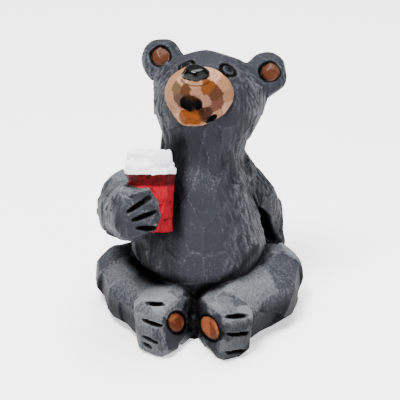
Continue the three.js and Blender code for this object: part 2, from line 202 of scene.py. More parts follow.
SOFT = {
    "torso": 8, "limb": 5, "neck": 9, "arm": 3, "propping paw": 2.5, "leg": 1.2, "foot": 0.9, "paw": 3.5,
    "finger": 2.2, "ear": 3, "muzzle": 0.8, "jaw": 1, "nose": 0.3, "lid": 0.5}


def propping_side(p):
    arm = limb(p, PROPPING_ARM, SOFT["limb"])
    return join(arm, ellipsoid(p, *PROPPING_PAW), SOFT["propping paw"])


print("balls in the trunk", len(TORSO), "and in each limb", len(RIGHT_LEG))


# %% [markdown]
# ## Feet
# They lie on their outer edges with the soles turned in to each other. Three or four cuts part the toes,
# and an oval groove marks the pad on each sole. Both feet are made by one class, from a row of sizes each.

# %% Feet
TOE_ROUND = 4.8
TOE_CUT_DEPTH = 1.9
TOE_CUT_WIDTH = 0.75
PAD_RING = 0.75


class Foot:
    """A rounded block that leans and turns its toes out, with a pad on its sole and cuts between its toes."""

    def __init__(self, centre, toes_out, lean, half, sole_side, pad, toe_cuts):
        yaw, tip = np.radians([toes_out, lean])
        side = np.array([math.cos(yaw), math.sin(yaw), 0])
        up = np.array([0, 0, math.cos(tip)]) + side * math.sin(tip)
        self.place = make_frame(centre, (math.sin(yaw), -math.cos(yaw), 0), up)
        self.half = half
        self.sole_side = sole_side
        self.toe_cuts = toe_cuts
        self.pad = pad

    def body(self, p):
        return block(into(self.place, p), self.half, TOE_ROUND)

    def pad_around(self, q):
        along, high, length, width, tilt = self.pad
        y, z, t = q[:, 1] - along, q[:, 2] - high, math.radians(tilt)
        across, up = y * math.cos(t) - z * math.sin(t), y * math.sin(t) + z * math.cos(t)
        return np.hypot(across / length, up / width)

    def cuts(self, p):
        q = into(self.place, p)
        off_sole = q[:, 0] - self.sole_side * self.half[0]
        d = np.hypot((self.pad_around(q) - 1) * self.pad[3], off_sole) - PAD_RING
        for a, b in self.toe_cuts:
            d = least(d, gash(q, a, b, (0, 1, 0.08 * a[2]), TOE_CUT_DEPTH, TOE_CUT_WIDTH))
        return d


RIGHT_FOOT = Foot(
    (-11.3, -27.5, 9.3), -33, -7, (6.9, 10.2, 10.3), 1, (1.7, 0.5, 5.4, 3.3, -39),
    [((-0.8, 8.4, 9.6), (6, 5.9, 9.1)), ((-1.8, 10.3, 4.3), (6.1, 9.1, 2.8)),
     ((-2.6, 10.3, -2.3), (3.9, 10.2, -3.9)), ((-2.7, 10.3, -5), (1, 10.3, -6.4))])
LEFT_FOOT = Foot(
    (8.5, -29.8, 8.5), 30, 7, (6.6, 10.2, 9.4), -1, (1.2, 0.2, 6.6, 3.9, -14),
    [((3.6, 9.3, 7.3), (-5.3, 8.1, 7.7)), ((4.5, 9.8, 1), (-4.8, 9.6, 1.9)),
     ((4.5, 9.6, -5.7), (-4.4, 9.7, -5.1))])
print("toe cuts", len(RIGHT_FOOT.toe_cuts), "on the right foot,", len(LEFT_FOOT.toe_cuts), "on the left one")

# %% [markdown]
# ## Head
# The skull is one ball with two ears on short roots. The muzzle is an upper lump and a jaw with the open
# mouth between them, and the nose is a lump on top. Eyes and ears are discs set in carved hollows.

# %% Head
EAR_DEPTH = 4
EAR_ROOT = ((10.6, 0, 4.2), 4, 7.6)
EAR_DISH = 3.9
EAR_DISH_DEPTH = 1.9
EAR_DISC = 3
EAR_DISC_DEPTH = 1.3
EAR_DISC_SHIFT = (0.3, -1.2, 0)
EARS = [(-1, (-17.7, 1, 12.5), (6.5, 6.9), (-17.9, 5, 12.4)), (1, (18, 0, 12.6), (6.6, 7.3), (19.2, 4, 12.6))]
EYES = [(-7.6, 13.8, 7.5), (6.2, 14.1, 8.1)]
EYE_RING = 2.4
EYE_RING_DEPTH = 0.7
EYE_DISC = 1.8
EYE_DOME = 1.1
EYE_SUNK = 0.3
SKULL = ((0, 0, 0.5), (18.3, 17.1, 16.6))
UPPER_MUZZLE = ((-1.8, 13.2, -1.4), (10.8, 11.2, 8.9))
NOSE = ((-3.2, 21.9, 2.5), (4.3, 3.8, 3.1))
JAW = ((-3, 11.2, -6.8), (6.1, 9.4, 4.6))
MOUTH = ((-3.4, 21.8, -6.9), (3.5, 4.8, 2.2))
JAW_BOWL = ((-3.2, 19.4, -8.6), (3.9, 2.4, 1.5))
MOUTH_CORNER = ((4, 16.3, -7.9), (2.5, 14, -10.1), (0.3, 0.6, -0.75), 2, 1.1)
FAR = 99


def crown(q):
    d = ellipsoid(q, *SKULL)
    (x, y, z), *radii = EAR_ROOT
    for side, centre, (wide, high), _ in EARS:
        ear = ellipsoid(q, centre, (wide, EAR_DEPTH, high))
        root = rod(q, centre, (side * x, y, z), *radii)
        d = join(d, join(ear, root, SOFT["ear"]), SOFT["ear"])
    return d


def muzzle(q):
    return join(ellipsoid(q, *UPPER_MUZZLE), jaw(q), SOFT["jaw"])


def jaw(q):
    return ellipsoid(q, *JAW)


def nose(q):
    return ellipsoid(q, *NOSE)


def mouth(q):
    return ellipsoid(q, *MOUTH)


def jaw_bowl(q):
    return ellipsoid(q, *JAW_BOWL)


def mouth_corner(q):
    return gash(q, *MOUTH_CORNER)


def on_skull(q, at):
    """Off the eye's axis, on the front of the skull alone, and off the skull itself."""
    steep = unit_vector((np.array(at) - SKULL[0]) / np.square(SKULL[1]))
    out = unit_vector(steep + (0, 1, 0))
    d = q - np.array(at)
    off_axis = np.where(q[:, 1] > 0, size_of(d - (d @ out)[:, None] * out), FAR)
    return off_axis, ellipsoid(q, *SKULL)


def eye_ring(q, at):
    wide, high = on_skull(q, at)
    return np.hypot(wide - EYE_RING, high) - EYE_RING_DEPTH


def eye_disc(q, at):
    wide, high = on_skull(q, at)
    return (np.hypot(wide / EYE_DISC, (high + EYE_SUNK) / EYE_DOME) - 1) * EYE_DOME


def ear_dish(q, face):
    return ellipsoid(q, face, (EAR_DISH, EAR_DISH_DEPTH, EAR_DISH))


def ear_disc(q, face):
    return ellipsoid(q, np.array(face) + EAR_DISC_SHIFT, (EAR_DISC, EAR_DISC_DEPTH, EAR_DISC))


print("the nose reaches", NOSE[0][1] + NOSE[1][1], "units ahead of the middle of the skull")


# %% [markdown]
# ## Paw
# The paw closes round the cup from behind, and four fingers reach across its front. Its numbers are in
# the cup's frame, so that paw and cup lean together.

# %% Paw
KNUCKLES = ((-6.6, 2.6, -12.2), (7.2, 6, 9))
FINGER_TIPS = [(0.4, -5.9), (2.3, -9.2), (2.9, -13), (1.4, -16.4)]
FINGER_SLASHES = [
    ((0.5, 8, -6.9), (-7.6, 8.6, -12.2)), ((2.5, 8, -11.5), (-6, 8.4, -14.8)),
    ((2.2, 7.2, -17), (-4.6, 8.2, -17.1))]
SLASH_DEPTH = 1.8
SLASH_WIDTH = 0.75
FINGER_START = (-7, 5)
FINGER_END = 6.4
FINGER_SLANT = 1.6
FINGER_RADII = (2.9, 2.15)


def paw(q):
    d = ellipsoid(q, *KNUCKLES)
    for x, z in FINGER_TIPS:
        start = (*FINGER_START, z - FINGER_SLANT)
        finger = rod(q, start, (x - FINGER_SLANT, FINGER_END, z), *FINGER_RADII)
        d = join(d, finger, SOFT["finger"])
    return d


def finger_gaps(q):
    return least(*[gash(q, a, b, (0, 1, 0), SLASH_DEPTH, SLASH_WIDTH) for a, b in FINGER_SLASHES])


print(len(FINGER_TIPS), "fingers,", len(FINGER_SLASHES), "slashes between them")


# %% [markdown]
# ## Cup
# It is turned: a straight taper, and a lid with a wide rim and a narrower step. It is carved from the same
# block as the bear, so it goes into the same form and its edges are as soft as the rest. Two thin lines on
# it are only painted.

# %% Cup
CUP_RIM = 7.95
CUP_FOOT = 6.8
CUP_LENGTH = 18.9
LID_RIM_OUT = 0.45
LID_RIM = (0.1, 4)
LID_RIM_ROUND = 0.6
LID_STEP_IN = 0.8
LID_STEP = (2, 7.5)
LID_STEP_ROUND = 1.2
CUP_LINES = [((2.6, 7.1, -10.2), (6.8, 3.1, -8.9)), ((4.7, 5.4, -14.8), (6.7, 2.3, -14))]


def cup_body(q):
    r = np.hypot(q[:, 0], q[:, 1])
    z = q[:, 2]
    radius = CUP_RIM + (CUP_FOOT - CUP_RIM) * np.clip(-z / CUP_LENGTH, 0, 1)
    return np.maximum(r - radius, np.maximum(z - 1, -z - CUP_LENGTH))


def drum(q, radius, low, high, rounding):
    """A short round block between two heights, with a rounded edge."""
    r = np.hypot(q[:, 0], q[:, 1]) - radius + rounding
    z = np.abs(q[:, 2] - (low + high) / 2) - (high - low) / 2 + rounding
    return np.hypot(np.maximum(r, 0), np.maximum(z, 0)) + np.minimum(np.maximum(r, z), 0) - rounding


def lid(q):
    rim = drum(q, CUP_RIM + LID_RIM_OUT, *LID_RIM, LID_RIM_ROUND)
    step = drum(q, CUP_RIM - LID_STEP_IN, *LID_STEP, LID_STEP_ROUND)
    return join(rim, step, SOFT["lid"])


print("the cup is", round(2 * CUP_RIM * UNIT * 1000, 1), "mm wide under its lid")


# %% [markdown]
# ## The whole form
# The plain form is everything before the small carving. The carved form then takes the hollows, toe cuts,
# rings and mouth out of it. The knife flats need both: they follow the plain form and leave grooves alone.

# %% Plain form


def trunk_and_crown(p, q):
    return join(limb(p, TORSO, SOFT["torso"]), crown(q), SOFT["neck"])


def bear_alone(p):
    q = into(HEAD, p)
    d = trunk_and_crown(p, q)
    d = join(d, limb(p, HOLDING_ARM, SOFT["limb"]), SOFT["arm"])
    d = join(d, propping_side(p), SOFT["arm"])
    d = join(d, least(*[limb(p, leg, SOFT["limb"]) for leg in (RIGHT_LEG, LEFT_LEG)]), SOFT["leg"])
    d = join(d, least(RIGHT_FOOT.body(p), LEFT_FOOT.body(p), rod(p, *HEELS)), SOFT["foot"])
    d = join(d, paw(into(CUP, p)), SOFT["paw"])
    return join(d, join(muzzle(q), nose(q), SOFT["nose"]), SOFT["muzzle"])


def cup_and_lid(p):
    c = into(CUP, p)
    return least(cup_body(c), lid(c))


def plain_form(p):
    """Bear, cup and lid, cut off flat at the ground."""
    return np.maximum(least(bear_alone(p), cup_and_lid(p)), -p[:, 2])


print("how far inside the middle of the seat is", -plain_form(np.array([TORSO[0][:3]]))[0].round(1), "units")


# %% Carved form
BEHIND_ARM = [((19, -1.3, 43.2), (22.4, -0.6, 34.2), (0.6, -0.8, 0), 1.3, 0.6),
              ((21.2, -1, 37), (26.8, 8.6, 19.6), (0.7, -0.7, 0.1), 5.5, 2.1)]
BY_THIGH = ((-22, -6.5, 20.6), (-13.5, -19, 20.4), 2.4, 1.6)
SOFT_EDGE = {"hollow": 0.9, "cut": 0.5, "mouth": 0.6}


def hollows(p):
    return least(*[gash(p, *one) for one in BEHIND_ARM], rod(p, *BY_THIGH))


def small_cuts(p):
    q = into(HEAD, p)
    rings = [eye_ring(q, at) for at in EYES]
    return least(RIGHT_FOOT.cuts(p), LEFT_FOOT.cuts(p), finger_gaps(into(CUP, p)), mouth_corner(q), *rings)


def carved_form(p):
    q = into(HEAD, p)
    d = cut(plain_form(p), hollows(p), SOFT_EDGE["hollow"])
    d = cut(d, small_cuts(p), SOFT_EDGE["cut"])
    d = cut(d, least(mouth(q), jaw_bowl(q)), SOFT_EDGE["mouth"])
    for *_, face in EARS:
        d = least(cut(d, ear_dish(q, face), SOFT_EDGE["cut"]), ear_disc(q, face))
    return least(d, *[eye_disc(q, at) for at in EYES])


mouth_middle = np.array([MOUTH[0]]) @ HEAD[1] + HEAD[0]
print("how far outside the middle of the mouth is", carved_form(mouth_middle)[0].round(1), "units")


# %% [markdown]
# ## From distances to a mesh
# The form is sampled on a grid of 0.6 mm, finer than the smallest cut, but only in blocks near its surface.
# Each grid cell that the surface passes gets one vertex, and each grid edge that crosses it gets one quad
# between its four cells. That is the method called surface nets. It gives an even, closed mesh of quads,
# which takes the knife flats better than the slivers that marching cubes makes. Last, every vertex settles
# on the form itself, by the distance that is left there.

# %% Grid
STEP = 0.61 * MM
LOW = np.array([-38, -42.5, -1.0])
HIGH = np.array([38.5, 24, 96])
BLOCK = 6
HALF_DIAGONAL = 0.87
SPARE = 2


def in_batches(function, points, batch=60000):
    return np.concatenate([function(points[i:i + batch]) for i in range(0, len(points), batch)])


def sampled(form):
    """The form at every grid point near its surface, and one value for a whole block elsewhere."""
    blocks = np.ceil((HIGH - LOW) / (STEP * BLOCK)).astype(int)
    values = np.full(blocks * BLOCK, np.inf)
    corner = np.stack(np.meshgrid(*[np.arange(n) for n in blocks], indexing="ij"), -1).reshape(-1, 3)
    middle = in_batches(form, LOW + (corner * BLOCK + (BLOCK - 1) / 2) * STEP)
    reach = STEP * BLOCK * HALF_DIAGONAL + SPARE
    inner = np.stack(np.meshgrid(*[np.arange(BLOCK)] * 3, indexing="ij"), -1).reshape(-1, 3)
    tiled = values.reshape(blocks[0], BLOCK, blocks[1], BLOCK, blocks[2], BLOCK).transpose(0, 2, 4, 1, 3, 5)
    tiled[tuple(corner.T)] = middle[:, None, None, None]
    near = corner[np.abs(middle) < reach]
    points = LOW + (near[:, None] * BLOCK + inner[None]) * STEP
    tiled[tuple(near.T)] = in_batches(form, points.reshape(-1, 3)).reshape(-1, BLOCK, BLOCK, BLOCK)
    return tiled.transpose(0, 3, 1, 4, 2, 5).reshape(blocks * BLOCK)


distances = sampled(carved_form)
print("grid", distances.shape)

# %% Surface net


def shifted(values, offset):
    return values[tuple(slice(o, n - 1 + o) for o, n in zip(offset, values.shape))]


def surface_net(values):
    """One vertex in each cell that the surface passes, and one quad round each grid edge that crosses it."""
    corners = [(a, b, c) for a in (0, 1) for b in (0, 1) for c in (0, 1)]
    inside = values < 0
    count = sum(shifted(inside, corner).astype(np.int8) for corner in corners)
    cells = np.argwhere((count > 0) & (count < 8))
    ids = np.full(count.shape, -1)
    ids[tuple(cells.T)] = np.arange(len(cells))
    total = np.zeros((len(cells), 3))
    crossings = np.zeros(len(cells))
    for start in corners:
        for axis in range(3):
            if start[axis]:
                continue
            end = np.array(start) + np.eye(3, dtype=int)[axis]
            a = values[tuple((cells + start).T)]
            b = values[tuple((cells + end).T)]
            crossed = (a < 0) != (b < 0)
            share = np.where(crossed, a / np.where(crossed, a - b, 1), 0)
            point = np.array(start) + share[:, None] * np.eye(3)[axis]
            total += point * crossed[:, None]
            crossings += crossed
    points = cells + total / crossings[:, None]
    quads = []
    for axis in range(3):
        u, v = (axis + 1) % 3, (axis + 2) % 3
        ahead = np.roll(inside, -1, axis)
        edges = np.argwhere(inside != ahead)
        edges = edges[(edges[:, axis] < values.shape[axis] - 1) & (edges[:, u] > 0) & (edges[:, v] > 0)]
        ring = []
        for du, dv in ((1, 1), (0, 1), (0, 0), (1, 0)):
            around = edges.copy()
            around[:, u] -= du
            around[:, v] -= dv
            ring.append(ids[tuple(around.T)])
        ring = np.stack(ring, 1)
        outward = inside[tuple(edges.T)]
        quads.append(np.where(outward[:, None], ring, ring[:, ::-1]))
    return points, np.concatenate(quads)


def gradient(form, points, reach=0.25):
    parts = []
    for axis in np.eye(3) * reach:
        parts.append(in_batches(form, points + axis) - in_batches(form, points - axis))
    slope = np.stack(parts, 1)
    return slope / np.maximum(size_of(slope), 1e-9)[:, None]


def settle(form, points, most):
    off = np.clip(in_batches(form, points), -most, most)
    return points - off[:, None] * gradient(form, points)


net_points, net_quads = surface_net(distances)
net_points = LOW + net_points * STEP
net_points = settle(carved_form, net_points, STEP * 0.4)
print(len(net_points), "points,", 2 * len(net_quads), "triangles")

# %% [markdown]
# ## Where each paint goes
# A painter follows the carving: brown up to the seam of the muzzle, red up to the fingers. So each zone is a
# difference of two distances, below zero where the paint is, kept on the vertices as an attribute. A texture
# map would need an unwrapping, and its pixels would never meet the seams as closely.

# %% Zones on ears, eyes and soles
PAINT_DEPTH = 2.2
EAR_PAINT_DEPTH = 2.4
FOOT_EDGE = 0.6
SOLE_DEPTH = 0.9
ASIDE = 9


def ear_radius(q, face, shift=0.0):
    d = q - np.array(face)
    return np.where(np.abs(d[:, 1]) < EAR_PAINT_DEPTH, np.hypot(d[:, 0] - shift, d[:, 2]), FAR)


def eye_radius(q, at):
    wide, high = on_skull(q, at)
    return np.where(np.abs(high) < PAINT_DEPTH, wide, FAR)


def pad_edge(p, foot):
    q = into(foot.place, p)
    on_sole = np.abs(q[:, 0] * foot.sole_side - foot.half[0]) < PAINT_DEPTH
    return np.where(on_sole, (foot.pad_around(q) - 1) * foot.pad[3], ASIDE)


def sole_edge(p, foot):
    q = into(foot.place, p)
    on_foot = foot.body(p) < FOOT_EDGE
    return np.where(on_foot, foot.half[0] - SOLE_DEPTH - q[:, 0] * foot.sole_side, ASIDE)


# %% [markdown]
# Painted light and painted shade go with the dry brush: paler on what faces up, on shins and toes, and
# painted shade low down on the sides of the legs, turned away from the light. The way a spot faces is asked
# of the plain form, so that the grey doesn't jump at each small cut.

# %% Pale and dark places
ON_LEGS = (23, 19)
ABOVE_LAP = (20, 28)
ON_TOES = (1.2, 0.2)
DRY_BRUSH_AND_LIGHT = {"right toes": 0.82, "left toes": 0.62, "legs": 0.6, "sides": 0.4, "shoulders": 0.5, "back": 0.3,
        "belly": 0.3}


def rising(x, low, high):
    """From 0 at low to 1 at high, also where high is the smaller one."""
    return np.clip((x - low) / (high - low), 0, 1)


def on_toes(p, foot):
    return rising(foot.body(p), *ON_TOES)


def dry_brush_and_painted_light(p, facing):
    """How pale dry brush and painted light leave each place: most on shins, toes and tops, some on the sides,
    least in front.
    """
    height = p[:, 2]
    places = {
        "right toes": on_toes(p, RIGHT_FOOT),
        "left toes": on_toes(p, LEFT_FOOT),
        # Painted light: legs, sides, shoulders, belly and back are paler by the way they face.
        "legs": rising(height, *ON_LEGS) * rising(facing[:, 2], 0.0, 0.85),
        "sides": rising(np.abs(facing[:, 0]), 0.55, 0.95) * rising(height, *ABOVE_LAP),
        "shoulders": rising(facing[:, 2], 0.35, 0.9) * rising(height, 26, 34) * rising(height, 70, 60),
        "belly": rising(height, 34, 26) * rising(-facing[:, 1], 0.5, 0.9) * rising(height, 12, 20),
        "back": rising(facing[:, 1], 0.2, 0.8),
    }
    return np.maximum.reduce([DRY_BRUSH_AND_LIGHT[name] * mask for name, mask in places.items()])


def painted_low_shade(p, facing):
    """Painted shade on the legs: low down, turned away from the light, and less on the right foot."""
    turned = rising(facing[:, 2], 0.45, -0.05)
    return turned * rising(p[:, 2], 24, 20) * (1 - 0.6 * on_toes(p, RIGHT_FOOT))


def grained(p, facing):
    """Where the long strokes show: on the sides, above the lap."""
    return rising(np.abs(facing[:, 0]), 0.3, 0.8) * rising(p[:, 2], *ABOVE_LAP)


# %% [markdown]
# A few dark marks are painted and not carved: painted shadow in the fold of the lap and in the gap between
# the feet, and a thin arc that ends the shield under the nose. The bowl of the jaw is an oval, seen from in
# front.

# %% Painted shadow, lines and ovals
# Painted shadow along the fold of the lap, and in the gap between the feet.
LAP_SHADOW = [
    (-20, -12.6, 26.5, 3.2), (-16.2, -17.5, 22.5, 3), (-12.5, -20, 19.5, 2.2), (-6, -22.3, 16.5, 1.5),
    (-1.3, -22.5, 15.5, 1.3), (6, -22.8, 18.2, 1.4), (14.2, -19.2, 24.5, 1.5), (18.3, -14.3, 28, 1.5)]
SHADOW_BETWEEN_FEET = ((-1, -25, 0), (-1, -26, 9), 3, 3)
NOSE_ARC = ((-3.2, 1.2), (4.6, 2.9))
BOWL_OVAL = ((-3, -9.4), (4.1, 1.9))


def painted_lap_shadow(p):
    return least(limb(p, LAP_SHADOW, 1), rod(p, *SHADOW_BETWEEN_FEET))


def oval(q, middle, half):
    """Off an oval that is drawn on the face from in front."""
    return (np.hypot((q[:, 0] - middle[0]) / half[0], (q[:, 2] - middle[1]) / half[1]) - 1) * half[1]


def under_nose_line(q):
    in_front_below = (q[:, 2] < 0.8) & (q[:, 1] > 15)
    return np.where(in_front_below, np.abs(oval(q, *NOSE_ARC)), ASIDE)


# %% [markdown]
# All the zones together, each under the name that the paint asks for.

# %% Paint zones
NOSE_FROM = 12
# Below this height the mouth gets painted shadow.
MOUTH_SHADOW_BELOW = -5.3
CORNER_SPREAD = 0.5
LID_FROM = 0.15
BAND_FROM = -3.6


def mouth_shadow_and_cut(q):
    """Painted shadow in the lower half of the mouth, and black in the cut at its corner."""
    return least(np.maximum(mouth(q), q[:, 2] - MOUTH_SHADOW_BELOW), mouth_corner(q) - CORNER_SPREAD)


def paint_zones(p):
    q = into(HEAD, p)
    c = into(CUP, p)
    facing = gradient(plain_form, p)
    return {
        "muzzle_paint": muzzle(q) - trunk_and_crown(p, q),
        "jaw_paint": jaw(q) - ellipsoid(q, *UPPER_MUZZLE),
        "nose_paint": np.where(q[:, 1] > NOSE_FROM, nose(q) - muzzle(q), ASIDE),
        "mouth_paint": mouth(q),
        # Painted shadow in the lower mouth, black in the cut at its corner.
        "mouth_shadow_and_cut": mouth_shadow_and_cut(q),
        "bowl_paint": oval(q, *BOWL_OVAL),
        "nose_line": under_nose_line(q),
        # Painted shadow in the lap and between the feet.
        "lap_shadow_paint": painted_lap_shadow(p),
        "ear_paint": least(*[ear_radius(q, face) for *_, face in EARS]),
        "ear_disc_paint": least(*[ear_radius(q, face, EAR_DISC_SHIFT[0]) for *_, face in EARS]),
        "eye_paint": least(*[eye_radius(q, at) for at in EYES]),
        "pad_paint": least(pad_edge(p, RIGHT_FOOT), pad_edge(p, LEFT_FOOT)),
        "cup_paint": cup_and_lid(p) - bear_alone(p),
        "lid_paint": LID_FROM - c[:, 2],
        "band_paint": BAND_FROM - c[:, 2],
        "sole_paint": least(sole_edge(p, RIGHT_FOOT), sole_edge(p, LEFT_FOOT)),
        "cut_depth": -plain_form(p),
        # Painted shade low on the legs.
        "painted_low_shade": painted_low_shade(p, facing),
        "grained": grained(p, facing),
        "cup_lines": least(*[rod(c, a, b, 0, 0) for a, b in CUP_LINES]),
        # Painted light and dry brush.
        "dry_brush_and_light": dry_brush_and_painted_light(p, facing),
    }


zones = paint_zones(net_points)
print({name: round(float((values < 0).mean()), 3) for name, values in zones.items()})

# %% [markdown]
# ## Painted shade in the recesses
# Hollows are painted darker, as shade falls there, and the fine ones also hold the black wash. How deep a
# point lies is asked of the form itself: a short way out along the normal, open air is as far from the
# surface as the way is long, and in a hollow it is nearer. Two lengths give fine grooves and broad folds.

# %% Painted shade and wash
FINE_REACH = 1.3
BROAD_REACH = 5.5

net_normals = gradient(carved_form, net_points)


# How closed in a point is, for painted shade, and in fine grooves for the black wash too.
def wash(reach):
    ahead = in_batches(carved_form, net_points + net_normals * reach)
    return np.clip(1 - ahead / reach, 0, 1)


# Painted shade: fine hollows, which hold the black wash too, and broad folds.
zones["fine_wash"] = wash(FINE_REACH)
zones["broad_wash"] = wash(BROAD_REACH)
print("in grooves", round(float((zones["fine_wash"] > 0.4).mean()), 3))

# %% [markdown]
# ## Colours
# The paints by name, as they are in the pot, and with them a near black for painted shade and wash and a grey
# for a painted highlight round the eyes. Light and varnish make them paler, so they are darker here than they
# look on the figure.

# %% Colours
PAINT = {
    # The near black also stands for painted shade, and the pale dry brush grey also for painted light.
    "slate": "#212227", "grey": "#36383d", "dry brush": "#6c7073", "black": "#010101", "wash": "#020203",
    "tan": "#7f5a41", "tan light": "#96705a", "tan shade": "#4b2d1e", "brown": "#3d2415", "olive": "#4b3a28",
    "mauve": "#3f2c25", "rose": "#502e27", "pink": "#755142", "umber": "#281409", "ochre": "#552c0c",
    "jaw": "#64320d", "lip": "#9a7257", "copper": "#3f2112", "pad": "#723f26", "pad dark": "#4a2415",
    "red": "#8a0b1b", "deep red": "#430509", "lid": "#e9e9ee", "lid shade": "#9c9ca8",
    # The grey of the eye rim is a painted highlight.
    "eye": "#15171b", "eye rim": "#3a3f45",
}


def linear(code):
    parts = [int(code[i:i + 2], 16) / 255 for i in (1, 3, 5)]
    return (*[v / 12.92 if v <= 0.04045 else ((v + 0.055) / 1.055) ** 2.4 for v in parts], 1)


colour = {name: linear(code) for name, code in PAINT.items()}
print(len(colour), "paints")

# %% [markdown]
# ## Flats of the muzzle
# The face decides whether the bear is this bear, so its flats are not left to chance. Each is listed with a
# place on the muzzle and its paint. A point belongs to the nearest place, moves onto the flat there and takes
# its paint, so that paint and flat end on the same line.

# %% Flats of the muzzle
MUZZLE_FLATS = [
    ((-8.6, 21.7, -2.7), "olive"), ((-5.4, 23.5, -3.3), "brown"), ((-7.1, 21.2, -5.9), "mauve"),
    ((-2.2, 24.1, -3.8), "pink"), ((1.2, 24.0, -1.9), "ochre"), ((3.7, 22.7, -3.1), "brown"),
    ((1.1, 22.7, -5.7), "pink"), ((4.8, 20.2, -5.9), "rose"), ((-4.2, 22.6, -6.2), "umber"),
    ((1.6, 19.4, -8.3), "umber"), ((-10.8, 18.3, -4.1), "tan"), ((-11.0, 18.9, -0.6), "tan"),
    ((-9.1, 17.0, -7.2), "tan"), ((-9.3, 19.0, 3.0), "tan"), ((-6.8, 22.9, 0.6), "tan light"),
    ((-2.8, 24.3, -1.0), "tan"), ((7.8, 18.2, -2.1), "tan"), ((5.7, 20.4, 1.4), "tan"),
    ((2.6, 21.6, 3.3), "tan light"), ((7.9, 16.3, -5.2), "tan light"), ((5.3, 16.3, -7.8), "tan"),
]
MUZZLE_FLAT_DEPTH = 1.2


def muzzle_flats(places, facing):
    """For points laid on the plain form: how far each moves out to its flat, and the flat's paint."""
    seeds = np.array([seed for seed, _ in MUZZLE_FLATS]) @ HEAD[1] + HEAD[0]
    seeds_facing = gradient(plain_form, seeds)
    seeds = settle(plain_form, seeds, 2)
    apart = size_of((places[:, None] - seeds).reshape(-1, 3)).reshape(len(places), -1)
    nearest = apart.argmin(axis=1)
    high = np.einsum("ij,ij->i", places - seeds[nearest], seeds_facing[nearest])
    paints = np.array([linear(PAINT[name])[:3] for _, name in MUZZLE_FLATS])
    return -high / (1 + (high / MUZZLE_FLAT_DEPTH) ** 4), paints[nearest]


on_muzzle = (zones["muzzle_paint"] < 0.2) & (zones["nose_paint"] > -0.2)
lay_facing = gradient(plain_form, net_points)
lay_at = net_points - lay_facing * in_batches(plain_form, net_points)[:, None]
muzzle_tint = np.zeros_like(net_points)
muzzle_move, muzzle_tint[on_muzzle] = muzzle_flats(lay_at[on_muzzle], lay_facing[on_muzzle])
net_points[on_muzzle] += muzzle_move[:, None] * lay_facing[on_muzzle]
print(len(MUZZLE_FLATS), "flats on the muzzle,", int(on_muzzle.sum()), "points")

# %% [markdown]
# The points and quads become a Blender mesh in metres. Everything that is known of each point goes with it
# as an attribute: its place and facing on the plain form for the knife, and the zones for the brush.

# %% Mesh


def mesh_of(name, points, quads):
    mesh = bpy.data.meshes.new(name)
    mesh.vertices.add(len(points))
    mesh.vertices.foreach_set("co", (points * UNIT).astype(np.float32).ravel())
    mesh.loops.add(quads.size)
    mesh.loops.foreach_set("vertex_index", quads.astype(np.int32).ravel())
    mesh.polygons.add(len(quads))
    mesh.polygons.foreach_set("loop_start", np.arange(0, quads.size, 4, dtype=np.int32))
    mesh.update(calc_edges=True)
    mesh.validate()
    return mesh


def keep(mesh, name, values):
    kind, field = ("FLOAT_VECTOR", "vector") if values.ndim == 2 else ("FLOAT", "value")
    layer = mesh.attributes.new(name, kind, "POINT")
    layer.data.foreach_set(field, values.astype(np.float32).ravel())


bear_mesh = mesh_of("bear", net_points, net_quads)
keep(bear_mesh, "lay_at", lay_at * UNIT)
keep(bear_mesh, "lay_facing", lay_facing)
keep(bear_mesh, "muzzle_tint", muzzle_tint)
for name, values in zones.items():
    keep(bear_mesh, name, values)
bear = bpy.data.objects.new("bear", bear_mesh)
bpy.context.scene.collection.objects.link(bear)
print(len(bear_mesh.vertices), "vertices,", len(bear_mesh.polygons), "quads")

# %% [markdown]
# ## Nodes
# Every node tree below is built by one small helper. Its values fill the inputs that the node has open, in
# their order, with numbers or with the outputs of other nodes. Some nodes are used again and again, so those
# have a short word each, in one table.

# %% Node helper
WORDS = {
    "times": ("ShaderNodeMath", {"operation": "MULTIPLY"}),
    "times plus": ("ShaderNodeMath", {"operation": "MULTIPLY_ADD"}),
    "plus": ("ShaderNodeMath", {"operation": "ADD"}),
    "minus": ("ShaderNodeMath", {"operation": "SUBTRACT"}),
    "divided by": ("ShaderNodeMath", {"operation": "DIVIDE"}),
    "to the power": ("ShaderNodeMath", {"operation": "POWER"}),
    "size": ("ShaderNodeMath", {"operation": "ABSOLUTE"}),
    "larger": ("ShaderNodeMath", {"operation": "MAXIMUM"}),
    "near": ("ShaderNodeMath", {"operation": "COMPARE"}),
    "vector plus": ("ShaderNodeVectorMath", {"operation": "ADD"}),
    "vector minus": ("ShaderNodeVectorMath", {"operation": "SUBTRACT"}),
    "vector times": ("ShaderNodeVectorMath", {"operation": "MULTIPLY"}),
    "scaled": ("ShaderNodeVectorMath", {"operation": "SCALE"}),
    "dot": ("ShaderNodeVectorMath", {"operation": "DOT_PRODUCT"}),
    "rise": ("ShaderNodeMapRange", {"clamp": True}),
    "mix": ("ShaderNodeMix", {"data_type": "FLOAT"}),
    "over": ("ShaderNodeMix", {"data_type": "RGBA"}),
}


def add(tree, word, *values, out=None, named=None, **settings):
    """Adds a node, and gives back its first open output, or the open one that out names."""
    kind, usual = WORDS.get(word, (word, {}))
    node = tree.nodes.new(kind)
    for key, value in {**usual, **settings}.items():
        setattr(node, key, value)
    filled = list(zip([socket for socket in node.inputs if socket.enabled], values))
    filled += [(node.inputs[name], value) for name, value in (named or {}).items()]
    for socket, value in filled:
        if isinstance(value, bpy.types.NodeSocket):
            tree.links.new(value, socket)
        else:
            socket.default_value = value
    return next((s for s in node.outputs if s.enabled and out in (None, s.name)), None)


print(len(WORDS), "words for nodes")

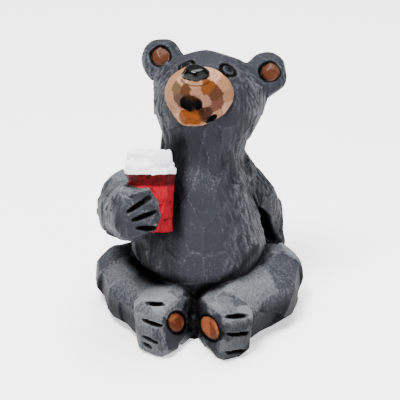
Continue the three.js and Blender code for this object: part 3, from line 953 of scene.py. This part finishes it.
# %% [markdown]
# ## Knife flats
# Whittled wood is covered with flats, one for each stroke of the knife. They follow a rule, so Geometry
# Nodes make them: seeds are spread evenly over the form, each point of the mesh finds its nearest seed, and
# moves onto the plane of that seed. Both are measured on the plain form, so that cuts keep their depth. The
# search runs in a space that is pushed out along the normal, so that a flat never folds round an edge.
# Sculpting each flat by hand would give the same look, and could not be changed with one number.

# %% Knife flats tree
KNIFE_INPUTS = {
    "Flat size": "NodeSocketFloat", "Depth": "NodeSocketFloat", "Sink": "NodeSocketFloat",
    "Stretch": "NodeSocketVector", "Zone": "NodeSocketFloat", "Seed": "NodeSocketInt",
    "Material": "NodeSocketMaterial",
}
TURN_AWAY = 0.003
MOST_SEEDS = 4e5
FADE = 4.0

knife_flats = bpy.data.node_groups.new("knife flats", "GeometryNodeTree")
for way in ("INPUT", "OUTPUT"):
    knife_flats.interface.new_socket("Geometry", in_out=way, socket_type="NodeSocketGeometry")
for name, kind in KNIFE_INPUTS.items():
    knife_flats.interface.new_socket(name, in_out="INPUT", socket_type=kind)
given = knife_flats.nodes.new("NodeGroupInput").outputs
knife = partial(add, knife_flats)
print(len(KNIFE_INPUTS), "inputs besides the geometry")

# %% [markdown]
# The seeds are points on the zone that is being cut. A seed lies not where it is seen but where the search
# looks for it: stretched, and pushed out along its normal.

# %% Seeds
lies_at = knife("GeometryNodeInputNamedAttribute", "lay_at", data_type="FLOAT_VECTOR")
faces = knife("GeometryNodeInputNamedAttribute", "lay_facing", data_type="FLOAT_VECTOR")
zone_here = knife("GeometryNodeInputNamedAttribute", "flat_zone", data_type="FLOAT")
in_zone = knife("near", zone_here, given["Zone"], 0.5)
pushed = knife("scaled", faces, TURN_AWAY)
search_at = knife("vector plus", knife("vector times", lies_at, given["Stretch"]), pushed)
seeds = knife("GeometryNodeDistributePointsOnFaces", distribute_method="POISSON", named={
    "Mesh": given["Geometry"], "Selection": in_zone, "Distance Min": given["Flat size"],
    "Density Max": MOST_SEEDS, "Seed": given["Seed"]})
seeds = knife("GeometryNodeSetPosition", named={"Geometry": seeds, "Position": search_at})
nearest = knife("GeometryNodeSampleNearest", seeds, search_at, domain="POINT")
seed_at, seed_faces = [
    knife("GeometryNodeSampleIndex", seeds, value, nearest, data_type="FLOAT_VECTOR", domain="POINT")
    for value in (lies_at, faces)]
print(len(knife_flats.nodes), "nodes find the nearest seed")

# %% [markdown]
# Each point then moves by its height over the seed's plane. A point far above the plane belongs to a rounder
# place, where a flat would cut too deep, so its move fades out with the fourth power of that height. Every
# flat also gets a number of its own, which the paint uses later.

# %% Move to the flats
height = knife("dot", knife("vector minus", lies_at, seed_at), seed_faces)
share_of_depth = knife("size", knife("divided by", height, given["Depth"]))
limit = knife("plus", knife("to the power", share_of_depth, FADE), 1.0)
sink = knife("times", given["Sink"], -1.0)
move = knife("times plus", knife("divided by", height, limit), -1.0, sink)
moved = knife("GeometryNodeSetPosition", named={
    "Geometry": given["Geometry"], "Selection": in_zone, "Offset": knife("scaled", faces, move)})
tone_here = knife("FunctionNodeRandomValue", data_type="FLOAT", named={"ID": nearest, "Seed": given["Seed"]})
toned = knife("GeometryNodeStoreNamedAttribute", moved, in_zone, "flat_tone", tone_here,
              data_type="FLOAT", domain="POINT")
whole = knife("GeometryNodeRealizeInstances", toned)
done = knife("GeometryNodeSetMaterial", named={"Geometry": whole, "Material": given["Material"]})
knife("NodeGroupOutput", done)
print(len(knife_flats.nodes), "nodes in all")

# %% [markdown]
# Flats are long on the body, where the knife went down with the grain, and small on ears, paw and feet. So
# the tree is used once for each zone, with other sizes. The muzzle has its own flats already, and the
# underside is flat, so both are left alone.

# %% Whittle the bear
BODY, DETAIL, LEGS, LEFT_ALONE = 0, 1, 2, 9
FLATS = {
    BODY: {"Flat size": 0.0078, "Depth": 0.0016, "Sink": 0.0002, "Stretch": (1, 1, 0.45), "Seed": 7},
    DETAIL: {"Flat size": 0.0044, "Depth": 0.0012, "Sink": 0.0001, "Stretch": (1, 1, 1), "Seed": 3},
    LEGS: {"Flat size": 0.0088, "Depth": 0.0022, "Sink": 0.0003, "Stretch": (0.75, 0.75, 1), "Seed": 11},
}
TOP_OF_LEGS = 21
DETAIL_EDGE = 0.9
UNDERSIDE = 0.1


def flat_zones(p):
    q = into(HEAD, p)
    c = into(CUP, p)
    zone = np.full(len(p), float(BODY))
    zone[p[:, 2] < TOP_OF_LEGS] = LEGS
    small = least(muzzle(q), nose(q), paw(c), cup_body(c), RIGHT_FOOT.body(p), LEFT_FOOT.body(p))
    ears = least(*[ellipsoid(q, centre, (wide, EAR_DEPTH, high)) for _, centre, (wide, high), _ in EARS])
    zone[(small < DETAIL_EDGE) | (ears < DETAIL_EDGE)] = DETAIL
    zone[on_muzzle] = LEFT_ALONE
    zone[p[:, 2] < UNDERSIDE] = LEFT_ALONE
    return zone


def plain_mesh(source):
    return bpy.data.meshes.new_from_object(source.evaluated_get(bpy.context.evaluated_depsgraph_get()))


def whittled(source, tree, material):
    keep(source.data, "flat_zone", flat_zones(net_points))
    keep(source.data, "flat_tone", np.full(len(net_points), 0.5))
    socket = {item.name: item.identifier for item in tree.interface.items_tree if item.in_out == "INPUT"}
    for zone, sizes in FLATS.items():
        modifier = source.modifiers.new(f"flats {zone}", "NODES")
        modifier.node_group = tree
        for name, value in {**sizes, "Zone": float(zone), "Material": material}.items():
            modifier[socket[name]] = value
    mesh = plain_mesh(source)
    bpy.data.objects.remove(source)
    return mesh


# %% [markdown]
# A dry brush catches on what stands out. So each vertex keeps how far it stands above the middle of its
# neighbours, in steps of the grid: above zero on a ridge between two flats, below it in a groove.

# %% Ridges


def relief_of(mesh):
    points = np.empty(len(mesh.vertices) * 3, np.float32)
    normals = np.empty_like(points)
    mesh.vertices.foreach_get("co", points)
    mesh.vertex_normals.foreach_get("vector", normals)
    points, normals = points.reshape(-1, 3), normals.reshape(-1, 3)
    ends = np.empty(len(mesh.edges) * 2, np.int32)
    mesh.edges.foreach_get("vertices", ends)
    a, b = ends.reshape(-1, 2).T
    count = np.bincount(a, minlength=len(points)) + np.bincount(b, minlength=len(points))
    around = np.stack([np.bincount(a, points[b, i], len(points)) + np.bincount(b, points[a, i], len(points))
                       for i in range(3)], 1) / count[:, None]
    return np.einsum("ij,ij->i", points - around, normals) / (STEP * UNIT)


# %% [markdown]
# ## Painted cast resin
# The real thing is polyester resin filled with stone dust, cast in a rubber mould, so it has no grain of its
# own. What shows is acrylic paint: a slate grey base, a black wash that stays in every cut, and a paler grey
# dragged over the top with a nearly dry brush, which catches on ridges and leaves specks and streaks. Light
# and
# shade are painted in too: painted shade in hollows, folds and low on the legs, and painted light on what
# faces up. The eye reads it as satin and chalky, and the varnished nose and ear discs as wet against it.
# One material with masks is used, and not one for each paint, because a mask can cross a face of the mesh
# and have a brush's wobbly edge, where a border between two materials would follow the quads.

# %% Start the paint
resin = bpy.data.materials.new("acrylic paint on cast resin")
resin.use_nodes = True
resin.node_tree.nodes.clear()
brush = partial(add, resin.node_tree)
object_place = brush("ShaderNodeTexCoord", out="Object")
kept = {name: brush("ShaderNodeAttribute", out="Fac", attribute_name=name)
        for name in [*zones, "flat_tone", "ridge"]}
print(len(kept), "attributes for the paint to read")

# %% [markdown]
# Paint is never even. Noise of real sizes gives the specks of a dry brush, its streaks and strokes down the
# figure, blotches where the wash dried, and the wobble of a painted edge. A real brush leaves streaks of half
# a millimetre, and the strokes are drawn a little coarser than they are, so that they show in the picture.

# %% Specks, streaks and wobble
SPECK = 0.0008
STREAK = (0.0007, 0.0007, 0.006)
STROKE = (0.0014, 0.0014, 0.02)
WOBBLE = 0.0016
BLOTCH = 0.007


def grain(size, detail=2.0, rough=0.5, shift=0.0):
    """Noise with grains of this size in metres, along all axes or along each."""
    sizes = size if isinstance(size, tuple) else (size,) * 3
    mapped = brush("ShaderNodeMapping", named={
        "Vector": object_place, "Location": (shift,) * 3, "Scale": tuple(1 / s for s in sizes)})
    return brush("ShaderNodeTexNoise", out="Fac", named={
        "Vector": mapped, "Scale": 1.0, "Detail": detail, "Roughness": rough})


specks = grain(SPECK, detail=3.0, rough=0.6)
streaks = grain(STREAK, detail=4.0, rough=0.65, shift=3.1)
strokes = grain(STROKE, shift=5.7)
blotches = grain(BLOTCH, shift=1.7)
wobble = grain(WOBBLE, shift=9.3)
print("specks of", SPECK * 1000, "mm, strokes of", STROKE[0] * 1000, "by", STROKE[2] * 1000, "mm")

# %% [markdown]
# Two helpers do the painting. One turns a zone into a mask with a brush's edge: the distance of a zone is in
# the figure's units, so an edge can lie a little outside the seam, be soft, and wander. The other lays a coat
# over what is below it.

# %% Masks and coats


def masked(name, edge=0.0, soft=0.16, wander=0.9):
    """1 inside the zone, 0 outside, with an edge that wanders as a brush does."""
    moved = brush("times plus", wobble, wander, brush("minus", kept[name], edge + wander / 2))
    return brush("rise", moved, soft, -soft)


def coat(below, above, mask, strength=1.0):
    """Lays one coat over another, each a paint's name or a coat, where the mask is."""
    below, above = [colour[paint] if isinstance(paint, str) else paint for paint in (below, above)]
    return brush("over", brush("times", mask, strength), below, above)


# %% [markdown]
# ### Fur
# The grey comes in two steps. First each spot gets a number for how much of the dry brush and of the painted
# light it takes: more on shins and toes and on what faces up, on ridges, and on some flats than on their
# neighbours. Then specks and streaks decide where the paint really caught. Painted shade goes low on the
# legs, long strokes follow on the sides, and last painted shade in folds and in the lap, and black in the
# cuts.

# %% Where the dry brush catches and the painted light falls
# Painted light: places that face up take more of the paler grey, as do shins and toes.
share = brush("times plus", kept["dry_brush_and_light"], 1.2, 0.05)
catch_and_light = brush("times plus", brush("minus", kept["flat_tone"], 0.5), share, kept["dry_brush_and_light"])
catch_and_light = brush("times plus", brush("rise", kept["ridge"], 0.01, 0.12), 0.2, catch_and_light)
catch_and_light = brush("times plus", brush("minus", blotches, 0.5), 0.25, catch_and_light)
catch_and_light = brush("minus", catch_and_light, brush("times", masked("sole_paint", soft=0.3, wander=0.8), 0.6))
grit = brush("times plus", specks, 0.5, brush("times", streaks, 0.5))
brushed = brush("rise", brush("times plus", catch_and_light, 0.38, grit), 0.58, 1.0)
dark_strokes = brush("times", brush("rise", strokes, 0.51, 0.58), kept["grained"])
pale_strokes = brush("times", brush("rise", strokes, 0.46, 0.36), kept["grained"])
print(len(resin.node_tree.nodes), "nodes")

# %% Where black paint and painted shade go
groove = brush("rise", brush("times plus", wobble, 0.3, kept["cut_depth"]), 1.1, 1.6)
# Painted shade in broad folds.
deep = brush("rise", kept["broad_wash"], 0.25, 0.95)
# Painted shade in fine hollows, with the black wash in the grooves.
fine = brush("rise", brush("times plus", streaks, 0.4, kept["fine_wash"]), 0.45, 0.95)

# %% Fur
# A lighter grey where dry brush and painted light fall.
fur = coat("slate", "grey", brush("rise", catch_and_light, -0.25, 0.9))
fur = coat(fur, "dry brush", brushed, strength=0.8)
# Painted shade low on the sides of the legs.
fur = coat(fur, "wash", kept["painted_low_shade"], strength=0.72)
fur = coat(fur, "wash", dark_strokes, strength=0.6)
fur = coat(fur, "dry brush", pale_strokes, strength=0.22)
# Painted shade in broad folds.
fur = coat(fur, "wash", deep, strength=0.85)
# Black paint in the cuts, and painted shade in fine hollows.
fur = coat(fur, "black", brush("larger", groove, brush("times", fine, 0.55)))
# Painted shadow in the fold of the lap and between the feet.
fur = coat(fur, "black", masked("lap_shadow_paint", edge=0.3, soft=1.3, wander=2.0), strength=0.85)
print(len(resin.node_tree.nodes), "nodes")

# %% [markdown]
# ### Muzzle and nose
# Each flat of the muzzle has its own brown, which came with the mesh. Over them go a thin line under the
# nose, an ochre bowl in the jaw with a pale lip round it, the mouth, umber above with painted shadow below,
# and painted shade in the small hollows.

# %% Muzzle and nose
flats = brush("ShaderNodeAttribute", out="Vector", attribute_name="muzzle_tint")
flats = coat(flats, "tan shade", brush("rise", streaks, 0.48, 0.72), strength=0.5)
flats = coat(flats, "umber", brush("rise", kept["nose_line"], 0.4, 0.12), strength=0.8)
jaw_coat = coat("lip", "jaw", masked("bowl_paint", soft=0.15, wander=0.8))
jaw_coat = coat(jaw_coat, "umber", brush("rise", streaks, 0.52, 0.7), strength=0.6)
flats = coat(flats, jaw_coat, masked("jaw_paint", soft=0.2, wander=0.6))
flats = coat(flats, "umber", masked("mouth_paint", edge=0.25, soft=0.3, wander=0.6))
# Painted shadow in the lower half of the mouth, black in the cut at its corner.
flats = coat(flats, "black", masked("mouth_shadow_and_cut", edge=0.25, soft=0.15, wander=0.8))
# Painted shade in the small hollows of the muzzle.
flats = coat(flats, "black", fine, strength=0.5)
paint = coat(fur, flats, masked("muzzle_paint", edge=-0.1))
paint = coat(paint, "black", masked("nose_paint", edge=0.1, soft=0.15, wander=0.5))
print(len(resin.node_tree.nodes), "nodes")

# %% [markdown]
# ### Ears, eyes and pads
# All three are a disc in a black ring: copper brown in the ears, black with a grey painted highlight round
# its rim for the eyes, and a warmer brown on the soles.

# %% Ears, eyes and pads
paint = coat(paint, "black", masked("ear_paint", edge=EAR_DISH - 0.25, soft=0.25, wander=0.6))
ear_coat = coat("copper", "pad dark", brush("rise", wobble, 0.5, 0.8))
paint = coat(paint, ear_coat, masked("ear_disc_paint", edge=EAR_DISC - 0.1, soft=0.1, wander=0.25))
paint = coat(paint, "black", masked("eye_paint", edge=EYE_RING + 0.65, soft=0.2, wander=0.3))
# The paler grey at the edge of each eye disc is a painted highlight.
eye_coat = coat("eye rim", "eye", masked("eye_paint", edge=EYE_DISC - 0.3, soft=0.1, wander=0.2))
eye_coat = coat(eye_coat, "black", masked("eye_paint", edge=0.8, soft=0.3, wander=0.6))
paint = coat(paint, eye_coat, masked("eye_paint", edge=EYE_DISC + 0.1, soft=0.12, wander=0.2))
paint = coat(paint, "black", masked("pad_paint", edge=0.75, soft=0.3, wander=0.7))
pad_coat = coat("pad", "pad dark", brush("rise", blotches, 0.45, 0.6))
paint = coat(paint, pad_coat, masked("pad_paint", edge=-0.3, soft=0.15, wander=0.4))
print(len(resin.node_tree.nodes), "nodes")

# %% [markdown]
# ### Cup
# The cup is red, darker on some flats and under the lid, with black for painted shade and wash in its
# hollows, and two thin cut lines. The lid is white, with painted shade in its grooves.

# %% Cup
under_lid = masked("band_paint", soft=0.4, wander=1.6)
cup_coat = coat("red", "deep red", brush("rise", streaks, 0.5, 0.8))
cup_coat = coat(cup_coat, "deep red", under_lid)
cup_coat = coat(cup_coat, "black", brush("times", under_lid, brush("rise", wobble, 0.47, 0.6)), strength=0.75)
cup_coat = coat(cup_coat, "deep red", brush("rise", kept["flat_tone"], 0.55, 0.6), strength=0.35)
# Painted shade and black wash in the cup's hollows and where it meets the paw.
cup_coat = coat(cup_coat, "black", brush("larger", brush("times", deep, 0.7), fine))
cup_coat = coat(cup_coat, "black", masked("cup_lines", edge=0.35, soft=0.15, wander=0.4), strength=0.85)
on_cup = masked("cup_paint", soft=0.12, wander=0.5)
paint = coat(paint, cup_coat, on_cup)
# Painted shade in the grooves of the lid.
lid_coat = coat("lid", "lid shade", brush("rise", kept["fine_wash"], 0.25, 0.8))
paint = coat(paint, lid_coat, brush("times", on_cup, masked("lid_paint", soft=0.12, wander=0.3)))
print(len(resin.node_tree.nodes), "nodes")

# %% [markdown]
# ### Gloss and relief
# Acrylic paint is satin, and a little rougher where specks of the dry brush lie. Varnish on the nose, and
# thinner on the ear discs, fills the relief and mirrors more. Polyester resin has an IOR of about 1.49.

# %% Gloss and relief
RESIN_IOR = 1.49
VARNISH_ROUGHNESS = 0.18
RELIEF = 0.0006

varnished_ears = brush("times", masked("ear_paint", edge=EAR_DISC, soft=0.1, wander=0.1), 0.6)
glossy = brush("larger", varnished_ears, masked("nose_paint", edge=0.1, soft=0.15, wander=0.3))
chalky = brush("minus", 1.0, glossy)
roughness = brush("mix", glossy, brush("times plus", specks, 0.25, 0.42), VARNISH_ROUGHNESS)
brush_marks = brush("times plus", streaks, 0.6, brush("times", specks, 0.4))
relief = brush("times", brush_marks, brush("times plus", chalky, 0.95, 0.05))
relief = brush("times plus", strokes, brush("times", chalky, 0.9), relief)
bump = brush("ShaderNodeBump", named={"Strength": 0.55, "Distance": RELIEF, "Height": relief})
shader = brush("ShaderNodeBsdfPrincipled", named={
    "Base Color": paint, "Roughness": roughness, "Normal": bump, "IOR": RESIN_IOR,
    "Specular IOR Level": brush("times plus", glossy, 0.15, 0.04)})
brush("ShaderNodeOutputMaterial", shader)
print(len(resin.node_tree.nodes), "nodes in all")

# %% [markdown]
# ## Put together
# The whittled mesh takes the place of the CAD solid. Its ridges are measured last, because every flat has to
# be there first.

# %% The finished bear
bear_mesh = whittled(bear, knife_flats, resin)
bear_mesh.name = "bear"
for vertex in bear_mesh.vertices:
    vertex.co.z = max(vertex.co.z, 0)
keep(bear_mesh, "ridge", relief_of(bear_mesh))
bear_mesh.polygons.foreach_set("use_smooth", np.ones(len(bear_mesh.polygons), bool))
bear = bpy.data.objects.new("bear", bear_mesh)
bpy.context.scene.collection.objects.link(bear)
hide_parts("resin_bear")
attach(bear, "root")
print("triangles", sum(len(p.vertices) - 2 for p in bear_mesh.polygons))

# %% [markdown]
# ## Floor and light
# A pale floor that reaches far behind the bear, matt so that it takes a soft shadow and no mirror image. It
# glows a little, as the table of a product photograph does when it is lit from below, and so stays nearly
# white. A small lamp high up in front gives the flats their light and dark, a weak one fills in from the
# right, a bigger one lights the top of the figure, and the room is bright.

# %% Floor
FLOOR_SIZE = 6.0
FLOOR_GLOW = 0.85


def make_floor():
    bpy.ops.mesh.primitive_plane_add(size=FLOOR_SIZE)
    floor = bpy.context.object
    floor.name = "floor"
    material = bpy.data.materials.new("matt white paper")
    material.use_nodes = True
    shader = material.node_tree.nodes["Principled BSDF"]
    shader.inputs["Base Color"].default_value = linear("#f6f6f6")
    shader.inputs["Roughness"].default_value = 0.9
    shader.inputs["Emission Color"].default_value = (1, 1, 1, 1)
    shader.inputs["Emission Strength"].default_value = FLOOR_GLOW
    floor.data.materials.append(material)
    return floor


make_floor()

# %% Lights
LAMPS = {
    "key": ((-0.25, -0.3, 0.95), 0.3, 28.0),
    "fill": ((0.6, -0.6, 0.35), 0.6, 3.0),
    "top": ((0.1, 0.2, 0.9), 0.5, 14.0),
}
LAMPS_AIM = Vector((0, 0, 0.05))
ROOM_LIGHT = 0.45


def make_lamp(name, place, size, power):
    """A square lamp of this size in metres and power in watts."""
    data = bpy.data.lights.new(name, "AREA")
    data.size = size
    data.energy = power
    lamp = bpy.data.objects.new(name, data)
    lamp.location = place
    towards = LAMPS_AIM - Vector(place)
    lamp.rotation_euler = towards.to_track_quat("-Z", "Y").to_euler()
    bpy.context.scene.collection.objects.link(lamp)


for name, (place, size, power) in LAMPS.items():
    make_lamp(name, place, size, power)
world = bpy.data.worlds.new("bright room")
world.use_nodes = True
world.node_tree.nodes["Background"].inputs[0].default_value = (1, 1, 1, 1)
world.node_tree.nodes["Background"].inputs[1].default_value = ROOM_LIGHT
bpy.context.scene.world = world
print(len(LAMPS), "lamps")
